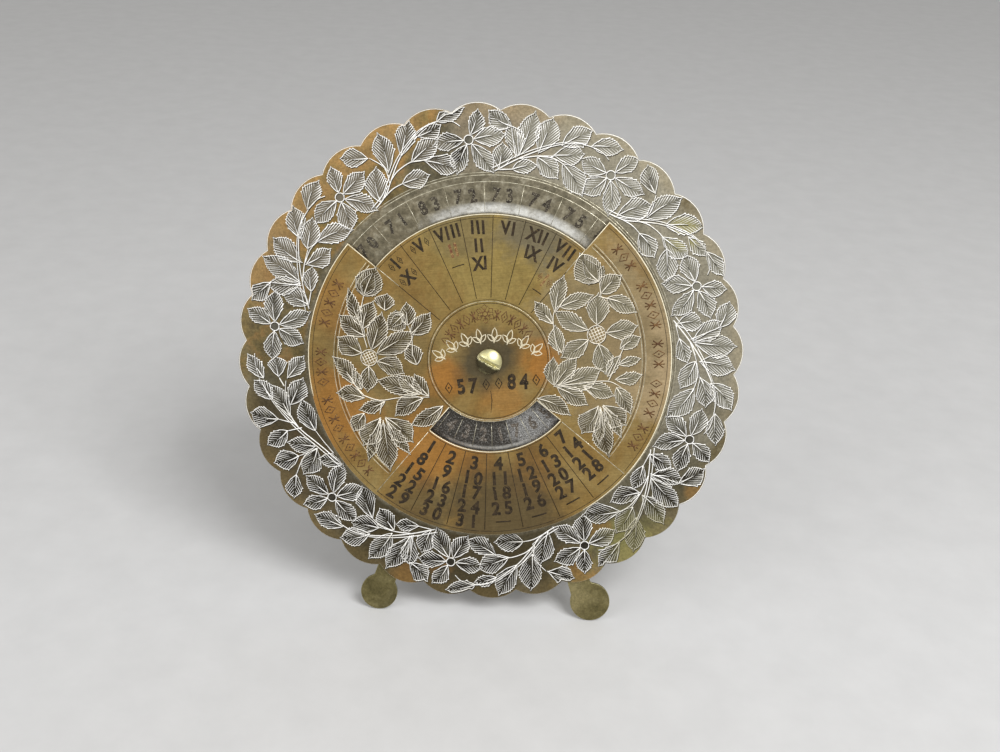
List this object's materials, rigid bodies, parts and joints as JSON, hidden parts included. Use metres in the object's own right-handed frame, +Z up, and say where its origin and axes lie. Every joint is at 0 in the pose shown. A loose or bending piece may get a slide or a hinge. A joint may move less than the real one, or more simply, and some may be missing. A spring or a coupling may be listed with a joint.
{
  "type": "perpetual desk calendar",
  "caption": "Round scalloped brass perpetual calendar: an engraved plate with a windowed disc that turns on its centre screw, on two riveted legs and a folding hinged strut.",
  "frame": {"origin": "on the table under the middle of the calendar's box", "axes": "+Z up, the dial faces -Y and leans back towards +Y, +X to the right of someone facing the dial"},
  "size_m": [0.1645, 0.0443, 0.1658],
  "materials": {
    "plate": "dark patinated brass, engraved bright",
    "disc": "ochre lacquered brass, engraved",
    "screw": "bright turned brass",
    "fittings": "turned brass, dulled",
    "legs": "olive tarnished sheet brass",
    "hinge": "rolled sheet brass, dulled",
    "rivets": "hammered brass",
    "steel": "dulled steel"
  },
  "bodies": {
    "plate": {"back_plate": "plate", "centre_screw": "screw", "spacer_washer": "fittings", "back_washer": "fittings", "spring_washer": "steel", "centre_nut": "fittings", "left_leg": "legs", "right_leg": "legs", "left_leg_rivets": "rivets", "right_leg_rivets": "rivets", "hinge_leaf": "hinge", "hinge_leaf_rivets": "rivets", "hinge_pin": "steel"},
    "disc": {"front_disc": "disc"},
    "strut": {"strut_leaf": "hinge", "strut": "legs", "strut_rivets": "rivets"}
  },
  "joints": [
    {"name": "disc_turn", "type": "hinge", "parent": "plate", "child": "disc", "pos_m": [0, -0.00014, 0.08639], "axis": [0, -0.9659, 0.2588], "continuous": true},
    {"name": "strut_fold", "type": "hinge", "parent": "plate", "child": "strut", "pos_m": [0, -0.00224, 0.06832], "axis": [1, 0, 0], "range_deg": [-30, 0]}
  ]
}
